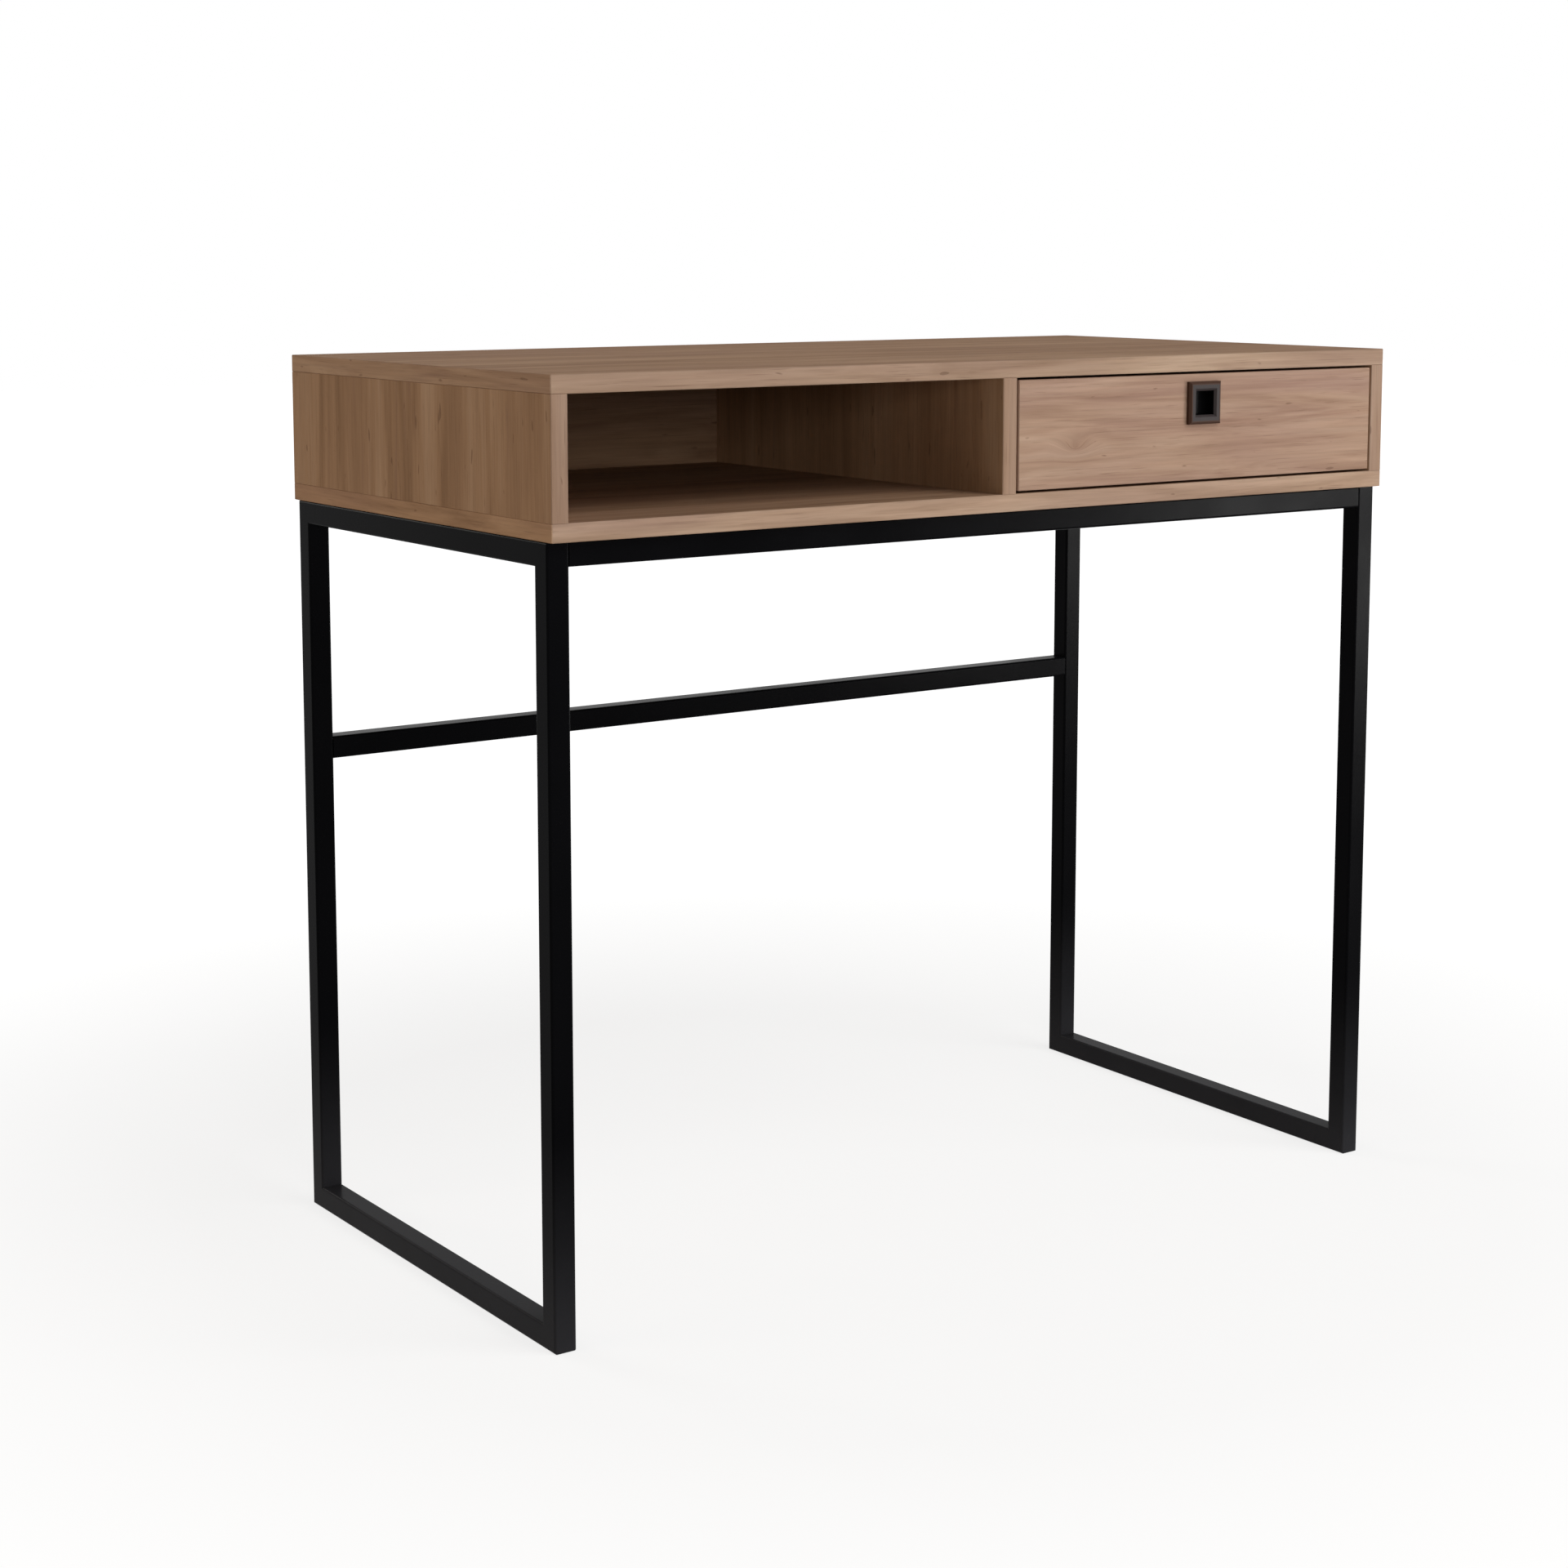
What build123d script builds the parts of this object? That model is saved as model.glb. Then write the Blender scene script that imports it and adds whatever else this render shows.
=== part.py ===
from build123d import *

import os

# Desk: x runs left to right, the front faces -y, z rises from the floor, sizes in millimetres
DESK_WIDTH = 900.0
DESK_DEPTH = 456.0
DESK_HEIGHT = 778.0

# Board case with an open shelf on the left and a drawer bay on the right
CASE_HEIGHT = 129.0
BOARD = 15.0
BACK_BOARD = 15.0
DIVIDER_X = 0.0
EDGE_BEVEL = 0.6

# Welded frame of square steel tube
TUBE = 20.0
TUBE_WALL = 1.2
TUBE_RADIUS = 2.0
FRAME_INSET = 8.0
STRETCHER_Z = 416.0

# Drawer
FRONT_BOARD = 15.0
FRONT_GAP = 2.2
DRAWER_BOARD = 12.0
DRAWER_LIFT = 10.0
DRAWER_HEADROOM = 17.0
DRAWER_REAR_ROOM = 24.0
DRAWER_BOTTOM = 3.0
GROOVE_DEPTH = 5.0
GROOVE_RISE = 8.0
GROOVE_PLAY = 0.2

# Square cup pull let into the drawer front
PULL_SIZE = 38.0
PULL_RISE = 5.0
PULL_BEVEL = 2.0
PULL_OPENING = 21.5
PULL_DROP = 25.8
CUP_SIZE = 30.0
CUP_DEPTH = 10.5
CUP_WALL = 2.0
CUP_FLOOR = 3.2

# Roller runners between the drawer and the walls of its bay
RUNNER_GAP = 12.5
RUNNER_SETBACK = 2.0
RUNNER_STEEL = 1.2
RUNNER_SHELF = 9.0
RUNNER_PLAY = 0.8
FLANGE_PLAY = 0.6
ROLLER_DIAMETER = 18.0
ROLLER_WIDTH = 7.0
ROLLER_PLAY = 0.2
ROLLER_INSET = 14.0
PIN_DIAMETER = 5.0
PIN_HEAD = 8.0
PIN_HEAD_HEIGHT = 0.8
PIN_TAIL = 6.0
PIN_RUNNING_FIT = 0.05
EXTENSION = 0.75
STOP_HEIGHT = 4.0
STOP_PLAY = 0.1

# Glued joints of the boards: loose tongues in the case, housings in the drawer
TONGUE = 4.0
TONGUE_WIDTH = 16.0
TONGUE_STOP = 30.0
UPRIGHT_STOP = 20.0
HOUSING = 5.0
BACK_HOUSING = 4.0

# Screws: diameter, head and length of each kind, and the fit of a piece in its hole or groove
FRAME_SCREW = 4.8
FRAME_SCREW_HEAD = 8.0
FRAME_SCREW_HEAD_HEIGHT = 3.2
FRAME_SCREW_BITE = 11.0
FRAME_SCREW_INSET = 90.0
ACCESS_HOLE = 13.0
RUNNER_SCREW = 3.5
RUNNER_SCREW_LENGTH = 11.0
RUNNER_SCREW_INSET = 45.0
PULL_SCREW = 4.0
PULL_SCREW_HEAD = 8.0
PULL_SCREW_HEAD_HEIGHT = 2.4
PULL_SCREW_BITE = 2.6
FIT = 0.15


def from_ends(low, high, inset):
    """The two places that lie inset from the ends of a run."""
    return low + inset, high - inset


# Case planes
half_width = DESK_WIDTH / 2
front = -DESK_DEPTH / 2
rear = DESK_DEPTH / 2
case_low = DESK_HEIGHT - CASE_HEIGHT
inner_low = case_low + BOARD
inner_high = DESK_HEIGHT - BOARD
inner_half = half_width - BOARD
end_x = half_width - BOARD / 2
back_face = rear - BACK_BOARD

# Frame planes
frame_front = front + FRAME_INSET
frame_rear = rear - FRAME_INSET
frame_x = half_width - TUBE / 2
frame_inside = frame_x - TUBE / 2
rail_z = case_low - TUBE / 2
cross_ys = from_ends(frame_front, frame_rear, TUBE / 2)

# Drawer planes
bay_left = DIVIDER_X + BOARD / 2
bay_right = inner_half
bay_middle = (bay_left + bay_right) / 2
box_left = bay_left + RUNNER_GAP
box_right = bay_right - RUNNER_GAP
box_front = front + FRONT_BOARD
box_rear = back_face - DRAWER_REAR_ROOM
box_low = inner_low + DRAWER_LIFT
box_high = inner_high - DRAWER_HEADROOM
bottom_low = box_low + GROOVE_RISE
bottom_high = bottom_low + DRAWER_BOTTOM
pull_z = inner_high - FRONT_GAP - PULL_DROP

# Runner section: t grows from the bay's wall towards the drawer, h rises from the rail's underside
runner_front = box_front + RUNNER_SETBACK
drawer_web = RUNNER_GAP - RUNNER_STEEL
lip_edge = drawer_web - RUNNER_PLAY
roller_t = (RUNNER_STEEL + drawer_web) / 2
roller_h = RUNNER_STEEL + ROLLER_PLAY + ROLLER_DIAMETER / 2
flange_low = roller_h + ROLLER_DIAMETER / 2 + ROLLER_PLAY
flange_high = flange_low + RUNNER_STEEL
channel_high = flange_high + FLANGE_PLAY + RUNNER_STEEL
axle_z = box_low + roller_h
rear_axle_y = box_rear - RUNNER_STEEL - STOP_PLAY - ROLLER_DIAMETER / 2
travel = EXTENSION * (box_rear - runner_front)
stop_drop = roller_h - RUNNER_STEEL - STOP_HEIGHT
stop_reach = ((ROLLER_DIAMETER / 2) ** 2 - stop_drop**2) ** 0.5
open_stop_y = rear_axle_y - travel - stop_reach - STOP_PLAY
runner_plane = Plane(origin=(bay_left, box_rear, box_low), x_dir=(1, 0, 0), z_dir=(0, -1, 0))


def block(x, y, z):
    """A box between the low and high ends given for each axis."""
    ends = (x, y, z)
    middle = [(low + high) / 2 for low, high in ends]
    size = [high - low for low, high in ends]
    return Pos(*middle) * Box(*size)


def turned(*outline):
    """A solid of revolution about z from its (radius, height) points."""
    return revolve(Plane.XZ * Polygon(*outline, align=None), Axis.Z)


def copies(shape, places):
    """Copies of a piece, one at each place."""
    return [place * shape for place in places]


def other_side(shape):
    """The mirror image of a runner's piece, on the bay's right wall."""
    return mirror(shape, about=Plane.YZ.offset(bay_middle))


def both_sides(shapes):
    """Pieces on the bay's left wall and their mirror images on its right wall."""
    return [*shapes, *map(other_side, shapes)]


# Fasteners point along +z from z = 0, and slack enlarges one into its hole
def shank(diameter, length, slack):
    radius = diameter / 2 + slack
    tip = length + slack
    return turned((0, 0), (radius, 0), (radius, tip), (0, tip))


def frame_screw(slack=0.0):
    """A screw with a hexagon head."""
    hexagon = RegularPolygon(FRAME_SCREW_HEAD / 2, 6, major_radius=False)
    length = TUBE_WALL + FRAME_SCREW_BITE
    return shank(FRAME_SCREW, length, slack) + extrude(hexagon, -FRAME_SCREW_HEAD_HEIGHT)


def access_hole():
    """The hole in a rail's lower wall that a frame screw and its socket go in by."""
    return Pos(0, 0, -TUBE) * shank(ACCESS_HOLE, TUBE / 2, 0.0)


def runner_screw(slack=0.0):
    """A countersunk screw that ends flush with the steel of its rail."""
    core = RUNNER_SCREW / 2 + slack
    rim = core + RUNNER_STEEL
    tip = RUNNER_SCREW_LENGTH + slack
    return turned((0, 0), (rim, 0), (core, RUNNER_STEEL), (core, tip), (0, tip))


def pull_screw(slack=0.0):
    """A screw with a cheese head."""
    length = FRONT_BOARD - CUP_DEPTH + PULL_SCREW_BITE
    head = Pos(0, 0, -PULL_SCREW_HEAD_HEIGHT) * shank(PULL_SCREW_HEAD, PULL_SCREW_HEAD_HEIGHT, 0.0)
    return shank(PULL_SCREW, length, slack) + head


def roller_pin(slack=0.0):
    """A riveted pin: its head keeps a roller on, and its tail pegs the rail to the board behind it."""
    core = PIN_DIAMETER / 2 + slack
    head = PIN_HEAD / 2
    tail = -PIN_TAIL - slack
    seat = roller_t + ROLLER_WIDTH / 2 + FLANGE_PLAY / 2
    end = seat + PIN_HEAD_HEIGHT
    return turned((0, tail), (core, tail), (core, seat), (head, seat), (head, end), (0, end))


# Turns that lay a fastener along an axis
RIGHT = Rot(0, 90, 0)
LEFT = Rot(0, -90, 0)
FORTH = Rot(90, 0, 0)

# Places of the fasteners, with the runner's on the left wall only
frame_screw_places = [
    Pos(x, y, case_low - TUBE_WALL)
    for x in from_ends(-frame_inside, frame_inside, FRAME_SCREW_INSET)
    for y in cross_ys
]
drawer_screw_z = (bottom_high + box_low + flange_low) / 2
screw_front_y, screw_rear_y = from_ends(runner_front, box_rear, RUNNER_SCREW_INSET)
case_screw = Pos(bay_left + RUNNER_STEEL, screw_rear_y, axle_z) * LEFT
drawer_screw = Pos(bay_left + drawer_web, screw_front_y, drawer_screw_z) * RIGHT
front_axle = Pos(bay_left, runner_front + ROLLER_INSET, axle_z) * RIGHT
rear_axle = Pos(box_left, rear_axle_y, axle_z) * LEFT
pull_screw_place = Pos(bay_middle, box_front, pull_z) * FORTH


def case_runner_holes():
    """What holds a case rail to its wall: a screw at the rear and the front roller's pin."""
    return [case_screw * runner_screw(FIT), front_axle * roller_pin(FIT)]


def drawer_runner_holes():
    """What holds a drawer rail to its side: a screw at the front and the rear roller's pin."""
    return [drawer_screw * runner_screw(FIT), rear_axle * roller_pin(FIT)]


def case_tongues(slack=0.0):
    """Loose tongues half in each of two case boards, or their grooves."""
    half = TONGUE / 2 + slack
    reach = TONGUE_WIDTH / 2 + slack
    back_middle = rear - BACK_BOARD / 2
    back_y = (back_middle - half, back_middle + half)
    run_x = (TONGUE_STOP - inner_half - slack, inner_half - TONGUE_STOP + slack)
    run_y = (front + TONGUE_STOP - slack, back_face - TONGUE_STOP + slack)
    run_z = (inner_low + UPRIGHT_STOP - slack, inner_high - UPRIGHT_STOP + slack)
    tongues = []
    for z in (inner_low, inner_high):
        across = (z - reach, z + reach)
        tongues.append(block(run_x, back_y, across))
        for x in (-end_x, DIVIDER_X, end_x):
            tongues.append(block((x - half, x + half), run_y, across))
    for x in (-inner_half, inner_half):
        tongues.append(block((x - reach, x + reach), back_y, run_z))
    divider_x = (DIVIDER_X - half, DIVIDER_X + half)
    tongues.append(block(divider_x, (back_face - reach, back_face + reach), run_z))
    return tongues


def eased(edges):
    """The board that the edges belong to, with those banded edges broken by a small bevel."""
    return chamfer(edges, EDGE_BEVEL)


# Case boards
def case_boards():
    full_x = (-half_width, half_width)
    full_y = (front, rear)
    inner_z = (inner_low, inner_high)
    grooves = case_tongues(FIT)
    frame_screws = copies(frame_screw(FIT), frame_screw_places)
    runner_holes = both_sides(case_runner_holes())

    top = block(full_x, full_y, (inner_high, DESK_HEIGHT))
    yield "top_panel", eased(top.edges()) - grooves

    bottom = block(full_x, full_y, (case_low, inner_low))
    yield "bottom_panel", eased(bottom.edges()) - grooves - frame_screws

    for name, side in (("left_side_panel", -1), ("right_side_panel", 1)):
        span = sorted((side * inner_half, side * half_width))
        board = block(span, full_y, inner_z)
        board = eased(board.edges().filter_by(Axis.Z))
        yield name, board - grooves - runner_holes

    divider = block((DIVIDER_X - BOARD / 2, bay_left), (front, back_face), inner_z)
    divider = eased(divider.edges().filter_by(Axis.Z).group_by(Axis.Y)[0])
    yield "center_divider", divider - grooves - runner_holes

    back = block((-inner_half, inner_half), (back_face, rear), inner_z)
    back = eased(back.edges().group_by(Axis.Y)[-1])
    yield "back_panel", back - grooves


# Tubes of the frame
def tube(length):
    """A square tube along +z from the origin."""
    bore = TUBE - 2 * TUBE_WALL
    return extrude(RectangleRounded(TUBE, TUBE, TUBE_RADIUS) - Rectangle(bore, bore), length)


def mitred_tube(length):
    """A tube along +z, mitred at both ends, with its long side on -x."""
    half = TUBE / 2
    outline = Polygon((-half, 0), (half, TUBE), (half, length - TUBE), (-half, length), align=None)
    return tube(length) & extrude(Plane.XZ * outline, half, both=True)


def side_frame(side):
    """The four mitred tubes of one sled-shaped side frame, by name."""
    x = side * frame_x
    depth = frame_rear - frame_front
    up = (0, 0, 1)
    back = (0, 1, 0)
    seats = {
        "front_leg": (Plane((x, frame_front + TUBE / 2, 0), (0, 1, 0), up), case_low),
        "rear_leg": (Plane((x, frame_rear - TUBE / 2, 0), (0, -1, 0), up), case_low),
        "floor_rail": (Plane((x, frame_front, TUBE / 2), (0, 0, 1), back), depth),
        "top_rail": (Plane((x, frame_front, rail_z), (0, 0, -1), back), depth),
    }
    return {name: plane * mitred_tube(length) for name, (plane, length) in seats.items()}


def cross_tube(y, z):
    """A tube welded between the side frames, across the desk."""
    return Plane((-frame_inside, y, z), (0, 1, 0), (1, 0, 0)) * tube(2 * frame_inside)


def frame_tubes():
    holes = copies(frame_screw(FIT), frame_screw_places) + copies(access_hole(), frame_screw_places)
    for name, side in (("left", -1), ("right", 1)):
        for member, shape in side_frame(side).items():
            yield f"{name}_{member}", shape
    front_y, rear_y = cross_ys
    yield "front_top_rail", cross_tube(front_y, rail_z) - holes
    yield "rear_top_rail", cross_tube(rear_y, rail_z) - holes
    yield "rear_stretcher", cross_tube(rear_y, STRETCHER_Z + TUBE / 2)


# Drawer box
def drawer_pull():
    """A cup pull with a raised bevelled bezel and a pocket that widens behind its lip."""
    plane = Plane((bay_middle, front, pull_z), (1, 0, 0), (0, -1, 0))
    bezel = extrude(Rectangle(PULL_SIZE, PULL_SIZE), PULL_RISE)
    bezel = chamfer(bezel.edges().group_by(Axis.Z)[-1], PULL_BEVEL)
    cup = extrude(Rectangle(CUP_SIZE, CUP_SIZE), -CUP_DEPTH)
    mouth = PULL_OPENING + 2 * PULL_BEVEL
    lead_in = loft([
        Pos(0, 0, PULL_RISE - PULL_BEVEL) * Rectangle(PULL_OPENING, PULL_OPENING),
        Pos(0, 0, PULL_RISE) * Rectangle(mouth, mouth),
    ])
    lip = extrude(Rectangle(PULL_OPENING, PULL_OPENING), PULL_RISE)
    pocket_size = CUP_SIZE - 2 * CUP_WALL
    pocket = extrude(Rectangle(pocket_size, pocket_size), CUP_FLOOR - CUP_DEPTH)
    screw = pull_screw_place * pull_screw(FIT)
    return plane * (bezel + cup - lead_in - lip - pocket) - screw


def drawer_boards():
    runner_holes = both_sides(drawer_runner_holes())
    box_z = (box_low, box_high)
    side_y = (box_front - HOUSING, box_rear)
    inside = (box_left + DRAWER_BOARD, box_right - DRAWER_BOARD)
    left = block((box_left, inside[0]), side_y, box_z)
    right = block((inside[1], box_right), side_y, box_z)

    groove_x = (inside[0] - GROOVE_DEPTH, inside[1] + GROOVE_DEPTH)
    groove_z = (bottom_low - GROOVE_PLAY, bottom_high + GROOVE_PLAY)
    groove = block(groove_x, (box_front - GROOVE_DEPTH, box_rear), groove_z)
    back_x = (inside[0] - BACK_HOUSING, inside[1] + BACK_HOUSING)
    back = block(back_x, (box_rear - DRAWER_BOARD, box_rear), (groove_z[1], box_high))

    face = block(
        (bay_left + FRONT_GAP, bay_right - FRONT_GAP),
        (front, box_front),
        (inner_low + FRONT_GAP, inner_high - FRONT_GAP),
    )
    recess = CUP_SIZE + 2 * FIT
    pull_seat = Pos(bay_middle, front, pull_z) * Box(recess, 2 * (CUP_DEPTH + FIT), recess)
    screw = pull_screw_place * pull_screw(FIT)
    yield "drawer_front", eased(face.edges()) - left - right - groove - pull_seat - screw
    yield "drawer_left_side", left - groove - back - runner_holes
    yield "drawer_right_side", right - groove - back - runner_holes
    yield "drawer_back", back

    bottom_x = (groove_x[0] + GROOVE_PLAY, groove_x[1] - GROOVE_PLAY)
    bottom_y = (box_front - GROOVE_DEPTH + GROOVE_PLAY, box_rear)
    yield "drawer_bottom", block(bottom_x, bottom_y, (bottom_low, bottom_high))


# Runners
def strip(t, h):
    """A rectangle of the runner's section between the given ends."""
    return Pos(sum(t) / 2, sum(h) / 2) * Rectangle(t[1] - t[0], h[1] - h[0])


def case_rail():
    """A channel on the bay's wall that the drawer's rear roller runs in between two stops."""
    section = strip((0, lip_edge), (0, channel_high))
    section -= strip((RUNNER_STEEL, lip_edge), (RUNNER_STEEL, channel_high - RUNNER_STEEL))
    rail = extrude(runner_plane * section, box_rear - runner_front)
    floor_z = box_low + RUNNER_STEEL
    tab_x = (bay_left + RUNNER_STEEL, bay_left + lip_edge)
    rail += block(tab_x, (box_rear - RUNNER_STEEL, box_rear), (floor_z, axle_z))
    rail += block(tab_x, (open_stop_y - RUNNER_STEEL, open_stop_y), (floor_z, floor_z + STOP_HEIGHT))
    return rail - case_runner_holes()


def drawer_rail():
    """A bent rail under the drawer's side, with a flange that rides on the case's front roller."""
    section = strip((drawer_web, RUNNER_GAP), (-RUNNER_STEEL, flange_high))
    section += strip((drawer_web, RUNNER_GAP + RUNNER_SHELF), (-RUNNER_STEEL, 0))
    section += strip((RUNNER_STEEL + FLANGE_PLAY, RUNNER_GAP), (flange_low, flange_high))
    rail = extrude(runner_plane * section, box_rear - runner_front)
    return rail - drawer_runner_holes()


def roller():
    """A plain roller about z with a running bore."""
    bore = PIN_DIAMETER / 2 + PIN_RUNNING_FIT
    rim = ROLLER_DIAMETER / 2
    half = ROLLER_WIDTH / 2
    return turned((bore, -half), (rim, -half), (rim, half), (bore, half))


def runners():
    front_roller = front_axle * Pos(0, 0, roller_t) * roller()
    rear_roller = rear_axle * Pos(0, 0, RUNNER_GAP - roller_t) * roller()
    pieces = {
        "case_rail": case_rail(),
        "drawer_rail": drawer_rail(),
        "front_roller": front_roller,
        "rear_roller": rear_roller,
    }
    for name, shape in pieces.items():
        yield f"left_{name}", shape
        yield f"right_{name}", other_side(shape)


# Joint pieces and fasteners in groups of separate solids
def groups():
    yield "case_tongues", case_tongues()
    yield "frame_screws", copies(frame_screw(), frame_screw_places)
    yield "case_runner_screws", both_sides([case_screw * runner_screw()])
    yield "drawer_runner_screws", both_sides([drawer_screw * runner_screw()])
    yield "front_roller_pins", both_sides([front_axle * roller_pin()])
    yield "rear_roller_pins", both_sides([rear_axle * roller_pin()])
    yield "pull_screw", [pull_screw_place * pull_screw()]


os.makedirs("parts", exist_ok=True)
nodes = [*case_boards(), *frame_tubes(), *drawer_boards(), ("drawer_pull", drawer_pull()), *runners()]
nodes += [(name, Compound(pieces)) for name, pieces in groups()]
for name, shape in nodes:
    export_step(shape, f"parts/{name}.step")
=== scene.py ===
"""The looks of a small writing desk: oak decor boards, a black tube frame and a drawer on roller runners."""

import math

import bmesh
import bpy
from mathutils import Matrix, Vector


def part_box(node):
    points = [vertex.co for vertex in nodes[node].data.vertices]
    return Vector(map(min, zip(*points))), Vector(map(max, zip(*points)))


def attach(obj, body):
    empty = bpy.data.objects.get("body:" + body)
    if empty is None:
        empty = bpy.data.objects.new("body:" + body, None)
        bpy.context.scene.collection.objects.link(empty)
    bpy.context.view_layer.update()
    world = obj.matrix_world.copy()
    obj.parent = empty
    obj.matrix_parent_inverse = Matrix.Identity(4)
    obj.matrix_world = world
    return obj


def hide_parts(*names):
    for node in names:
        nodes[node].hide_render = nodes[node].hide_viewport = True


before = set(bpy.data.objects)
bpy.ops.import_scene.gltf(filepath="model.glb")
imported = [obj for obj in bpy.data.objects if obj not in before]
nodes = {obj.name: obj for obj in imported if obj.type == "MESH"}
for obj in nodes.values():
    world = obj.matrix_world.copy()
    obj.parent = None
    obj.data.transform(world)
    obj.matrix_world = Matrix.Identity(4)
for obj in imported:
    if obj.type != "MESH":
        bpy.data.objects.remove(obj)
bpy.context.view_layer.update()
AXES = X, Y, Z = 0, 1, 2


def linear(red, green, blue):
    """A linear colour from display values of 0 to 255."""
    shares = [value / 255 for value in (red, green, blue)]
    return (*[s / 12.92 if s <= 0.04045 else ((s + 0.055) / 1.055) ** 2.4 for s in shares], 1.0)


# Oak: each board's dark, middle and light grain and the blush of broad patches, then what all boards share
# The drawer front's tones are paler and greyer than the top's: partly its own decor and partly a painted
# sheen, like that of the edge bands
FRONT_TONES_AND_PAINTED_SHEEN = linear(146, 116, 98), linear(170, 141, 121), linear(184, 157, 137), linear(157, 126, 115)
TOP_TONES = linear(138, 107, 83), linear(166, 134, 108), linear(182, 151, 124), linear(156, 124, 103)
# Painted shade: the bottom and back panels, which line the open cubby, take the top's oak darkened by about
# a sixth all over
SHELF_PAINTED_SHADE_TONES = linear(126, 98, 76), linear(152, 122, 98), linear(168, 138, 113), linear(143, 113, 94)
SIDE_TONES = linear(132, 101, 75), linear(160, 126, 97), linear(175, 143, 115), linear(150, 117, 90)
FOIL_TONES = linear(158, 130, 106), linear(176, 149, 124), linear(188, 162, 137), linear(168, 140, 118)
TONE_STOPS = 0.34, 0.5, 0.66
SMUDGE = linear(128, 98, 84)
FLECK = linear(84, 58, 44)
PORE = linear(96, 70, 52)
FIBRE_SHADE = 0.9, 1.08
FIBRE_GLOSS = 0.64, 0.78

# Tints of the bands on front and back edges, and of the bottom panel's ends. A band is partly the edge
# band's own tone and partly painted light that makes the front edges paler and greyer than the top; the
# bottom panel's band and end tint also lift its painted shade back out.
TOP_BAND_AND_PAINTED_LIGHT = (1.08, 1.2, 1.36, 1.0)
BOTTOM_BAND_AND_PAINTED_LIGHT = (1.3, 1.43, 1.62, 1.0)
BOTTOM_CAP_LIFTING_PAINTED_SHADE = (1.3, 1.26, 1.17, 1.0)
SIDE_BAND_AND_PAINTED_LIGHT = (0.97, 1.06, 1.28, 1.0)

# A faint knot in the drawer front: its radius across the grain, and how it bends and shades the grain
KNOT_CENTRE = (0.073, -0.228, 0.701)
KNOT_RADIUS = 0.016
KNOT_NARROWING = 0.45
KNOT_FALL = 1.6
KNOT_BEND = 0.8 * KNOT_RADIUS
KNOT_SHADE = 0.3
KNOT_HEART = linear(118, 84, 70)

# Most noise lies in this range, and a face looks along an axis when its normal's share of it is over FACING
NOISE_RANGE = 0.3, 0.7
FACING = 0.7

# Coats: cells per metre of the fine peel and of the broad clouds, and how far clouds change the gloss
PEEL_CELLS = 1400.0
CLOUD_CELLS = 9.0
GLOSS_DOWN = 0.05
GLOSS_UP = 0.07
# Painted light from the white floor: the paler grey that a coat takes near the floor, the height where it
# fades out, and how it falls off
PAINTED_FLOOR_LIGHT = linear(46, 46, 49)
PAINTED_FLOOR_LIGHT_HEIGHT = 0.18
PAINTED_FLOOR_LIGHT_FALL = 1.5

# The pull's painted reflection, grey on its front plate, and its painted shade, near black in its recess:
# how far in from its outline, and how far behind its front
PULL_BRONZE = linear(66, 45, 35)
# Painted reflection: this grey stands for a sheen on the pull's front plate
PAINTED_SHEEN_GREY = linear(57, 51, 51)
FACE_RIM = 0.003
FACE_LIP = -0.001
# Painted shade: near black where the pull's recess lies in shade
PAINTED_POCKET_SHADE = linear(6, 6, 7)
POCKET_RIM = 0.0058
POCKET_LIP = 0.002

# The cross in a screw's head, in shares of the head's radius and in metres
RECESS_REACH = 0.62
RECESS_WIDTH = 0.16
RECESS_TAPER = 0.5
RECESS_DEPTH = 0.0015
RECESS_PROUD = 0.0004
SAME_POINT = 1e-6
SHARP_EDGE = math.radians(35)

# The studio: its even light, and a floor whose share of paper white grows to 1 over a stretch of metres
AMBIENT_COLOUR = (1.0, 0.97, 0.93, 1.0)
AMBIENT_STRENGTH = 0.17
WHITE = (1.0, 1.0, 1.0, 1.0)
FLOOR_GREY = (0.82, 0.82, 0.82, 1.0)
FLOOR_REACH = 14.0
FLOOR_DROP = 0.0004
PAPER_STRENGTH = 1.12
PAPER_SHARE = 0.7
PAPER_FADE = 0.6, 1.8
DAY = (1.0, 0.99, 0.975)
CREAM = (1.0, 0.96, 0.91)
IVORY = (1.0, 0.96, 0.89)
AMBER = (1.0, 0.84, 0.66)

# Each lamp's place, the point that it faces, its width and height, its power in watts and its colour
LAMPS = {
    "key": ((1.1, -2.7, 3.3), (0.1, 0.0, 0.62), (2.6, 2.2), 70.0, DAY),
    "right_softbox": ((2.44, -2.17, 0.33), (0.2, -0.1, 0.5), (0.8, 0.5), 36.0, DAY),
    "front_fill": ((-1.3, -2.7, 1.06), (-0.15, 0.1, 0.69), (0.6, 0.5), 13.0, IVORY),
    "left_fill": ((-3.3, 0.35, 1.3), (0.0, 0.0, 0.65), (1.6, 1.6), 14.0, AMBER),
    "back_fill": ((-1.6, 3.2, 1.8), (0.0, 0.1, 0.6), (1.4, 1.2), 24.0, CREAM),
}


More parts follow.
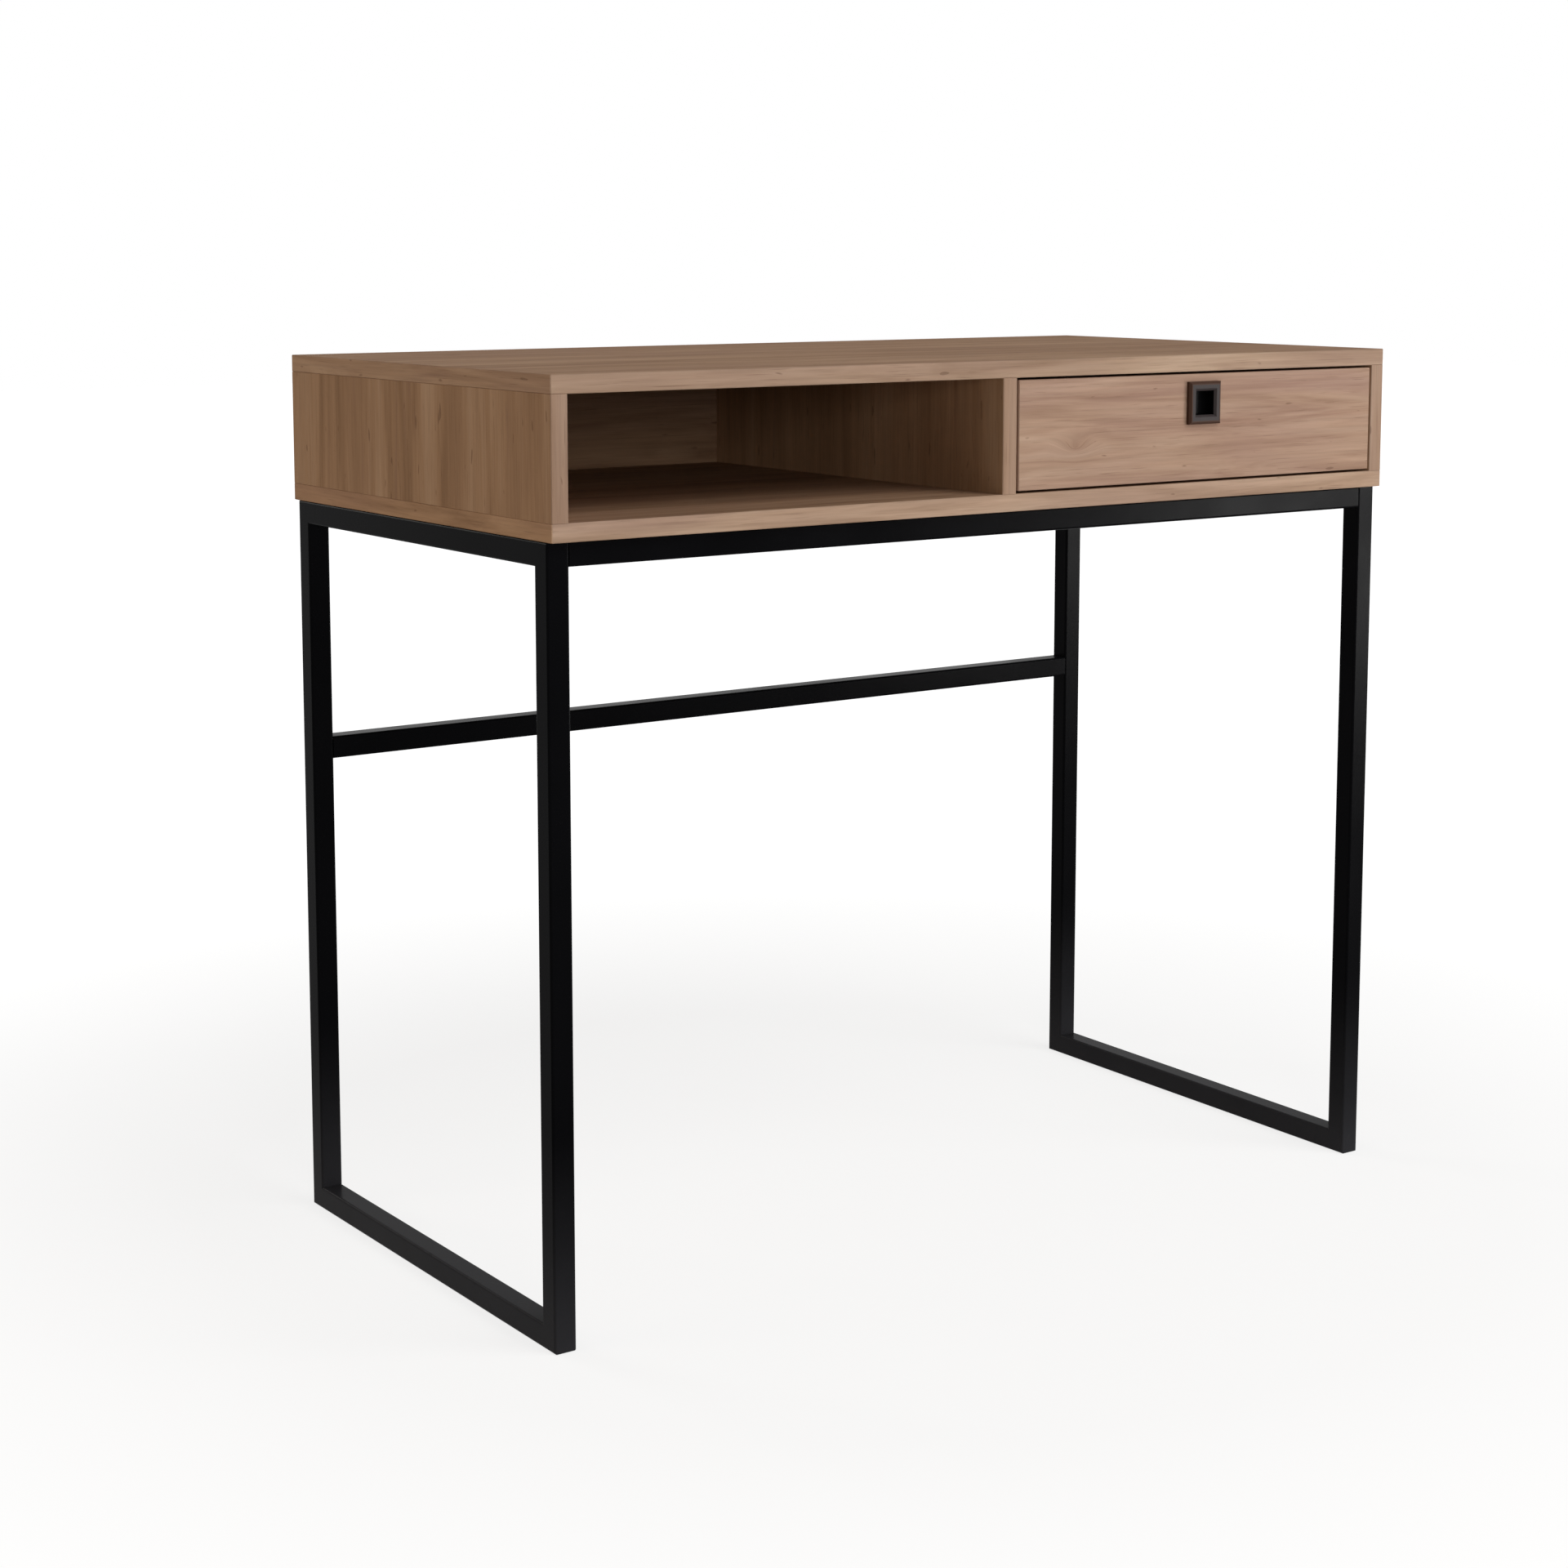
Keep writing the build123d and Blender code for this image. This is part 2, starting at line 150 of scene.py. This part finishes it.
class ShaderTree:
    """Short calls for the nodes of one shader."""

    def __init__(self, tree):
        self.tree = tree

    def feed(self, socket, value):
        """Links an output to a socket, or sets the socket to a constant."""
        if isinstance(value, bpy.types.NodeSocket):
            self.tree.links.new(value, socket)
        else:
            socket.default_value = value

    def node(self, kind, *values, **settings):
        """A node with its settings, and its inputs fed in order."""
        made = self.tree.nodes.new("ShaderNode" + kind)
        for key, setting in settings.items():
            setattr(made, key, setting)
        for socket, value in zip(made.inputs, values):
            self.feed(socket, value)
        return made

    def place(self, output="Object"):
        return self.node("TexCoord").outputs[output]

    def math(self, operation, *values):
        return self.node("Math", *values, operation=operation).outputs[0]

    def vector(self, operation, *values):
        return self.node("VectorMath", *values, operation=operation).outputs[0]

    def length(self, vector):
        return self.node("VectorMath", vector, operation="LENGTH").outputs["Value"]

    def parts(self, vector):
        return self.node("SeparateXYZ", vector).outputs

    def remap(self, value, low, high, to_low, to_high):
        return self.node("MapRange", value, low, high, to_low, to_high).outputs[0]

    def rise(self, value, start, full, most):
        """0 up to start, then rising to the most at full."""
        return self.remap(value, start, full, 0.0, most)

    def end(self, output, shader):
        """Makes a shader the surface that the tree gives out."""
        self.feed(self.tree.nodes[output].inputs["Surface"], shader)


class Finish(ShaderTree):
    """A material and short calls for what its looks are made of."""

    def __init__(self, name, roughness, specular, metallic=0.0):
        self.material = bpy.data.materials.new(name)
        self.material.use_nodes = True
        super().__init__(self.material.node_tree)
        self.shader = self.tree.nodes["Principled BSDF"]
        self.shader.inputs["Roughness"].default_value = roughness
        self.shader.inputs["Specular IOR Level"].default_value = specular
        self.shader.inputs["Metallic"].default_value = metallic

    def noise(self, vector, detail=2.0, roughness=0.5, distortion=0.0):
        made = self.node("TexNoise", vector)
        made.inputs["Scale"].default_value = 1.0
        made.inputs["Detail"].default_value = detail
        made.inputs["Roughness"].default_value = roughness
        made.inputs["Distortion"].default_value = distortion
        return made.outputs[0]

    def ramp(self, value, positions, colours):
        made = self.node("ValToRGB", value)
        elements = made.color_ramp.elements
        while len(elements) < len(positions):
            elements.new(1.0)
        for element, position, colour in zip(elements, positions, colours):
            element.position = position
            element.color = colour
        return made.outputs[0]

    def mix(self, factor, first, second, blend="MIX"):
        """A mix of two colours, which are the node's sockets 6 and 7."""
        made = self.node("Mix", factor, data_type="RGBA", blend_type=blend)
        self.feed(made.inputs[6], first)
        self.feed(made.inputs[7], second)
        return made.outputs[2]

    def switch(self, factor, first, second):
        """A mix of two vectors, which are the node's sockets 4 and 5."""
        made = self.node("Mix", factor, data_type="VECTOR")
        self.feed(made.inputs[4], first)
        self.feed(made.inputs[5], second)
        return made.outputs[1]

    def times(self, colour, tint):
        return self.mix(1.0, colour, tint, "MULTIPLY")

    def grey(self, value):
        return self.node("CombineColor", value, value, value).outputs[0]

    def bump(self, height, distance, strength):
        made = self.node("Bump")
        made.inputs["Strength"].default_value = strength
        made.inputs["Distance"].default_value = distance
        self.feed(made.inputs["Height"], height)
        self.feed(self.shader.inputs["Normal"], made.outputs[0])

    def colour(self, value):
        self.feed(self.shader.inputs["Base Color"], value)

    def gloss(self, value):
        self.feed(self.shader.inputs["Roughness"], value)


def stretched(along, run, across):
    """Cells per metre along the grain and across it."""
    scale = [across] * 3
    scale[along] = run
    return tuple(scale)


def near_knot(finish, along):
    """1 at the middle of the knot, falling to 0 at its rim, which is longer along the grain."""
    offset = finish.vector("SUBTRACT", finish.place(), KNOT_CENTRE)
    rim = stretched(along, KNOT_NARROWING / KNOT_RADIUS, 1.0 / KNOT_RADIUS)
    away = finish.length(finish.vector("MULTIPLY", offset, rim))
    return finish.math("POWER", finish.remap(away, 0.0, 1.0, 1.0, 0.0), KNOT_FALL)


def oak(name, along, ends, shift, tones, streaks=0.5, band_and_painted_light=None, cap_lifting_painted_shade=None, knotted=False):
    """Oak decor along one axis, with end grain along another, tinted edge bands that are partly painted
    light, perhaps ends tinted to lift painted shade, and perhaps a faint knot.
    """
    finish = Finish(name, roughness=0.7, specular=0.025)
    moved = finish.vector("ADD", finish.place(), shift)
    if knotted:
        knot = near_knot(finish, along)
        bend = finish.node("CombineXYZ", 0.0, 0.0, finish.math("MULTIPLY", knot, KNOT_BEND)).outputs[0]
        moved = finish.vector("ADD", moved, bend)
    towards = finish.parts(finish.vector("ABSOLUTE", finish.place("Normal")))
    on_end = finish.math("GREATER_THAN", towards[along], FACING)

    def grain(run, across, **looks):
        lengthways = finish.vector("MULTIPLY", moved, stretched(along, run, across))
        endways = finish.vector("MULTIPLY", moved, stretched(ends, run, across))
        return finish.noise(finish.switch(on_end, lengthways, endways), **looks)

    bands = grain(run=1.3, across=24.0, detail=3.0, roughness=0.55, distortion=0.6)
    figure = grain(run=4.2, across=56.0, detail=4.0, roughness=0.6, distortion=1.4)
    fibres = grain(run=9.0, across=420.0, detail=3.0, roughness=0.65)
    pores = grain(run=26.0, across=900.0, detail=1.0)
    patches = grain(run=2.8, across=17.0, distortion=0.7)
    marks = grain(run=5.5, across=75.0, distortion=0.8)
    flecks = grain(run=55.0, across=210.0, detail=0.0)

    *grain_tones, blush = tones
    tone = finish.math("MULTIPLY_ADD", bands, streaks, finish.math("MULTIPLY", figure, 1.0 - streaks))
    colour = finish.ramp(tone, TONE_STOPS, grain_tones)
    colour = finish.mix(finish.rise(patches, start=0.44, full=0.64, most=0.55), colour, blush)
    # Faces towards Y take the band tint, which is partly painted light, and the ends take the end tint,
    # which lifts painted shade
    for side, tint in ((Y, band_and_painted_light), (along, cap_lifting_painted_shade)):
        if tint:
            banded = finish.math("GREATER_THAN", towards[side], FACING)
            colour = finish.mix(banded, colour, finish.times(colour, tint))
    colour = finish.times(colour, finish.grey(finish.remap(fibres, *NOISE_RANGE, *FIBRE_SHADE)))
    colour = finish.mix(finish.rise(marks, start=0.62, full=0.76, most=0.32), colour, SMUDGE)
    if knotted:
        colour = finish.mix(finish.math("MULTIPLY", knot, KNOT_SHADE), colour, KNOT_HEART)
    colour = finish.mix(finish.rise(flecks, start=0.8, full=0.84, most=0.4), colour, FLECK)
    open_pore = finish.rise(pores, start=0.64, full=0.72, most=0.28)
    finish.colour(finish.mix(open_pore, colour, PORE))
    finish.gloss(finish.remap(fibres, *NOISE_RANGE, *FIBRE_GLOSS))
    finish.bump(finish.math("SUBTRACT", fibres, open_pore), distance=0.00012, strength=0.5)
    return finish.material


def inside(finish, low, high):
    """1 in a box of the object's frame and 0 outside it."""
    middle = [(a + b) / 2 for a, b in zip(low, high)]
    shares = [2 / (b - a) for a, b in zip(low, high)]
    offset = finish.vector("SUBTRACT", finish.place(), middle)
    along = finish.parts(finish.vector("ABSOLUTE", finish.vector("MULTIPLY", offset, shares)))
    furthest = finish.math("MAXIMUM", finish.math("MAXIMUM", along[X], along[Y]), along[Z])
    return finish.math("LESS_THAN", furthest, 1.0)


def coat(name, colour, roughness, specular, wear, metallic=0.0, zones=(), painted_floor_glow=False):
    """A coated or plain surface with a fine peel and clouds, perhaps with zones of painted reflection and
    painted shade, and perhaps paler low down as painted light from the floor.
    """
    finish = Finish(name, roughness, specular, metallic)
    if painted_floor_glow:
        # Painted light: the coat grows paler towards the floor
        height = finish.parts(finish.place())[Z]
        painted_glow_share = finish.math("POWER", finish.remap(height, 0.0, PAINTED_FLOOR_LIGHT_HEIGHT, 1.0, 0.0), PAINTED_FLOOR_LIGHT_FALL)
        colour = finish.mix(painted_glow_share, colour, PAINTED_FLOOR_LIGHT)
    for (low, high), painted_zone_colour in zones:
        colour = finish.mix(inside(finish, low, high), colour, painted_zone_colour)
    peel = finish.noise(finish.vector("MULTIPLY", finish.place(), (PEEL_CELLS,) * 3))
    cloud = finish.noise(finish.vector("MULTIPLY", finish.place(), (CLOUD_CELLS,) * 3), detail=3.0)
    share = finish.remap(cloud, *NOISE_RANGE, 1.0 - wear, 1.0 + wear)
    finish.colour(finish.times(colour, finish.grey(share)))
    finish.gloss(finish.remap(cloud, *NOISE_RANGE, roughness - GLOSS_DOWN, roughness + GLOSS_UP))
    finish.bump(peel, distance=0.00004, strength=0.4)
    return finish.material


def within_pull(rim, lip):
    """The box that lies within a rim of the pull's outline and behind a lip of its front."""
    low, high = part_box("drawer_pull")
    return (low.x + rim, low.y + lip, low.z + rim), (high.x - rim, high.y, high.z - rim)


# Each board takes its grain from another place in the noise
decor_top = oak("oak_top", X, Y, (3.1, 0.7, 2.2), TOP_TONES, band_and_painted_light=TOP_BAND_AND_PAINTED_LIGHT)
# The bottom panel's oak is darkened as painted shade for the cubby, and its edges and ends are lifted back
# out of it
decor_bottom = oak("oak_bottom", X, Y, (7.4, 2.9, 5.1), SHELF_PAINTED_SHADE_TONES, band_and_painted_light=BOTTOM_BAND_AND_PAINTED_LIGHT, cap_lifting_painted_shade=BOTTOM_CAP_LIFTING_PAINTED_SHADE)
decor_left = oak("oak_left", Z, Y, (1.7, 4.3, 0.4), SIDE_TONES, streaks=0.75, band_and_painted_light=SIDE_BAND_AND_PAINTED_LIGHT)
decor_right = oak("oak_right", Z, Y, (8.2, 1.1, 6.6), SIDE_TONES, streaks=0.75, band_and_painted_light=SIDE_BAND_AND_PAINTED_LIGHT)
decor_divider = oak("oak_divider", Z, Y, (5.5, 3.6, 1.9), SIDE_TONES, streaks=0.7, band_and_painted_light=SIDE_BAND_AND_PAINTED_LIGHT)
# The back panel takes the same oak darkened as painted shade
decor_back = oak("oak_back", X, Z, (2.4, 9.2, 3.3), SHELF_PAINTED_SHADE_TONES)
# The drawer front's oak is partly painted sheen
decor_front = oak("oak_drawer_front", X, Z, (6.1, 5.2, 8.8), FRONT_TONES_AND_PAINTED_SHEEN, streaks=0.4, knotted=True)
drawer_board = oak("drawer_board", Y, Z, (4.6, 8.1, 7.7), TOP_TONES, streaks=0.4)
drawer_back = oak("drawer_back_board", X, Z, (9.6, 2.1, 1.7), TOP_TONES, streaks=0.4)
hardboard = oak("foiled_hardboard", Y, X, (5.9, 6.4, 2.7), FOIL_TONES, streaks=0.4)
# The black frame is painted paler near the floor, as painted light
black = coat("black_powder_coat", linear(8, 8, 10), roughness=0.25, specular=0.013, wear=0.12, painted_floor_glow=True)
# Painted reflection: a grey zone on the pull's front plate
painted_sheen_zone = within_pull(FACE_RIM, FACE_LIP), PAINTED_SHEEN_GREY
# Painted shade: a near-black zone in the pull's recess
painted_shade_zone = within_pull(POCKET_RIM, POCKET_LIP), PAINTED_POCKET_SHADE
bronze = coat(
    "dark_bronze_lacquer", PULL_BRONZE, roughness=0.36, specular=0.06, wear=0.1, zones=(painted_sheen_zone, painted_shade_zone)
)
rail_paint = coat("pale_rail_coat", linear(206, 206, 202), roughness=0.4, specular=0.4, wear=0.03)
nylon = coat("nylon", linear(224, 221, 211), roughness=0.45, specular=0.4, wear=0.02)
zinc = coat("zinc_plate", linear(196, 197, 196), roughness=0.34, specular=0.5, wear=0.05, metallic=1.0)
birch = coat("birch_tongue", linear(205, 176, 138), roughness=0.6, specular=0.2, wear=0.06)

# A node's finish goes by the end of its name, and the first ending that fits is the one that counts
endings = {
    "top_panel": decor_top,
    "bottom_panel": decor_bottom,
    "left_side_panel": decor_left,
    "right_side_panel": decor_right,
    "center_divider": decor_divider,
    "back_panel": decor_back,
    "drawer_front": decor_front,
    "drawer_left_side": drawer_board,
    "drawer_right_side": drawer_board,
    "drawer_back": drawer_back,
    "drawer_bottom": hardboard,
    "drawer_pull": bronze,
    "case_tongues": birch,
    "leg": black,
    "floor_rail": black,
    "top_rail": black,
    "stretcher": black,
    "case_rail": rail_paint,
    "drawer_rail": rail_paint,
    "roller": nylon,
    "screws": zinc,
    "screw": zinc,
    "pins": zinc,
}
for name, node in nodes.items():
    material = next(finish for ending, finish in endings.items() if name.endswith(ending))
    node.data.materials.clear()
    node.data.materials.append(material)


def joined_copy(mesh):
    """The facets of a mesh, with the corners joined that it has twice, so that it is closed."""
    shape = bmesh.new()
    points = [shape.verts.new(vertex.co) for vertex in mesh.vertices]
    for facet in mesh.polygons:
        shape.faces.new([points[number] for number in facet.vertices])
    bmesh.ops.remove_doubles(shape, verts=shape.verts, dist=SAME_POINT)
    return shape


def loose_solids(shape):
    """The corners of each separate solid of a closed shape."""
    seen = set()
    for start in shape.verts:
        if start in seen:
            continue
        seen.add(start)
        found = [start]
        for corner in found:
            for edge in corner.link_edges:
                near = edge.other_vert(corner)
                if near not in seen:
                    seen.add(near)
                    found.append(near)
        yield [corner.co.copy() for corner in found]


def screw_head(corners, axis):
    """The middle of a screw's head, the way that it faces along the axis, and its radius."""
    low = [min(corner[side] for corner in corners) for side in AXES]
    high = [max(corner[side] for corner in corners) for side in AXES]
    middle = [(a + b) / 2 for a, b in zip(low, high)]
    across = [side for side in AXES if side != axis]

    def from_axis(corner):
        return math.hypot(*[corner[side] - middle[side] for side in across])

    widest = max(corners, key=from_axis)
    way = 1 if widest[axis] > middle[axis] else -1
    middle[axis] = high[axis] if way == 1 else low[axis]
    return middle, way, (high[across[0]] - low[across[0]]) / 2


def add_cross(shape, axis, head):
    """A tapered cross that stands out of a screw's head and reaches into it."""
    middle, way, radius = head
    reach = RECESS_REACH * radius
    width = RECESS_WIDTH * radius
    first, second = [side for side in AXES if side != axis]
    rings = []
    for depth, share in ((-RECESS_PROUD, 1.0), (RECESS_DEPTH, RECESS_TAPER)):
        ring = []
        for quarter in range(4):
            for along, over in ((reach, -width), (reach, width), (width, width)):
                for _ in range(quarter):
                    along, over = -over, along
                corner = list(middle)
                corner[axis] -= way * depth
                corner[first] += share * along
                corner[second] += share * over
                ring.append(shape.verts.new(corner))
        rings.append(ring)
        shape.faces.new(ring)
    mouth, floor = rings
    for number in range(len(mouth)):
        shape.faces.new((mouth[number - 1], mouth[number], floor[number], floor[number - 1]))


def made_object(name, shape):
    """An object of a shape, which is then used up."""
    mesh = bpy.data.meshes.new(name)
    shape.to_mesh(mesh)
    shape.free()
    made = bpy.data.objects.new(name, mesh)
    bpy.context.scene.collection.objects.link(made)
    return made


def recessed_screws(node, body, axis):
    """A node's screws with a cross cut into each head."""
    shape = joined_copy(nodes[node].data)
    crosses = bmesh.new()
    for corners in loose_solids(shape):
        add_cross(crosses, axis, screw_head(corners, axis))
    bmesh.ops.recalc_face_normals(crosses, faces=crosses.faces)
    piece = made_object(node + "_recessed", shape)
    cutter = made_object("screwdriver_crosses", crosses)
    cut = piece.modifiers.new("recess", "BOOLEAN")
    cut.solver = "EXACT"
    cut.object = cutter
    graph = bpy.context.evaluated_depsgraph_get()
    piece.data = bpy.data.meshes.new_from_object(piece.evaluated_get(graph))
    piece.modifiers.clear()
    bpy.data.objects.remove(cutter)
    piece.data.shade_smooth()
    piece.data.set_sharp_from_angle(angle=SHARP_EDGE)
    piece.data.materials.clear()
    piece.data.materials.append(zinc)
    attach(piece, body)
    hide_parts(node)


recessed_screws("case_runner_screws", "desk", X)
recessed_screws("drawer_runner_screws", "drawer", X)
recessed_screws("pull_screw", "drawer", Y)


def white_background(tree, shaded, white):
    """Shows the white one to the camera, in reflections and through glass, and the shaded one elsewhere."""
    path = tree.node("LightPath").outputs
    seen = tree.math("MAXIMUM", path["Is Camera Ray"], path["Is Glossy Ray"])
    seen = tree.math("MAXIMUM", seen, path["Is Transmission Ray"])
    return tree.node("MixShader", seen, shaded, white).outputs[0]


def studio_world():
    """Soft even light, with a white background behind the floor."""
    world = bpy.data.worlds.new("studio")
    bpy.context.scene.world = world
    world.use_nodes = True
    world.node_tree.nodes.remove(world.node_tree.nodes["Background"])
    tree = ShaderTree(world.node_tree)
    ambient = tree.node("Background", AMBIENT_COLOUR, AMBIENT_STRENGTH).outputs[0]
    white = tree.node("Background", WHITE, 1.0).outputs[0]
    tree.end("World Output", white_background(tree, ambient, white))


def studio_floor():
    """A pale floor that keeps a faint shadow near the desk and fades to plain white round it."""
    bpy.ops.mesh.primitive_plane_add(size=2 * FLOOR_REACH, location=(0, 0, -FLOOR_DROP))
    floor = bpy.context.object
    floor.name = "studio_floor"
    material = bpy.data.materials.new("studio_floor")
    material.use_nodes = True
    material.node_tree.nodes.remove(material.node_tree.nodes["Principled BSDF"])
    tree = ShaderTree(material.node_tree)
    matt = tree.node("BsdfDiffuse", FLOOR_GREY).outputs[0]
    paper = tree.node("Emission", WHITE, PAPER_STRENGTH).outputs[0]
    whiter = tree.remap(tree.length(tree.place()), *PAPER_FADE, PAPER_SHARE, 1.0)
    bright = tree.node("MixShader", whiter, matt, paper).outputs[0]
    tree.end("Material Output", white_background(tree, matt, bright))
    floor.data.materials.append(material)


def area_light(name, place, aim, size, power, colour):
    """A soft oblong lamp that faces a point and that the camera doesn't see."""
    data = bpy.data.lights.new(name, "AREA")
    data.shape = "RECTANGLE"
    data.size, data.size_y = size
    data.energy = power
    data.color = colour
    lamp = bpy.data.objects.new(name, data)
    bpy.context.scene.collection.objects.link(lamp)
    lamp.location = place
    towards = [a - p for a, p in zip(aim, place)]
    flat = math.hypot(towards[X], towards[Y])
    lamp.rotation_euler = (math.atan2(flat, -towards[Z]), 0, math.atan2(-towards[X], towards[Y]))
    lamp.visible_camera = False


def photo_camera(place, turn, pitch, lens, rise):
    """The photograph's viewpoint: turned towards the right and tipped down, in degrees."""
    data = bpy.data.cameras.new("photo_camera")
    data.sensor_width = 36.0
    data.lens = lens
    data.shift_y = rise
    camera = bpy.data.objects.new("photo_camera", data)
    bpy.context.scene.collection.objects.link(camera)
    camera.location = place
    camera.rotation_euler = (math.radians(90 - pitch), 0, math.radians(-turn))
    bpy.context.scene.camera = camera


studio_world()
studio_floor()
for name, lamp in LAMPS.items():
    area_light(name, *lamp)
photo_camera(place=(-1.54, -2.1061, 0.8804), turn=34.811, pitch=7.147, lens=65.419, rise=-0.12)
bpy.context.scene.view_settings.view_transform = "Standard"
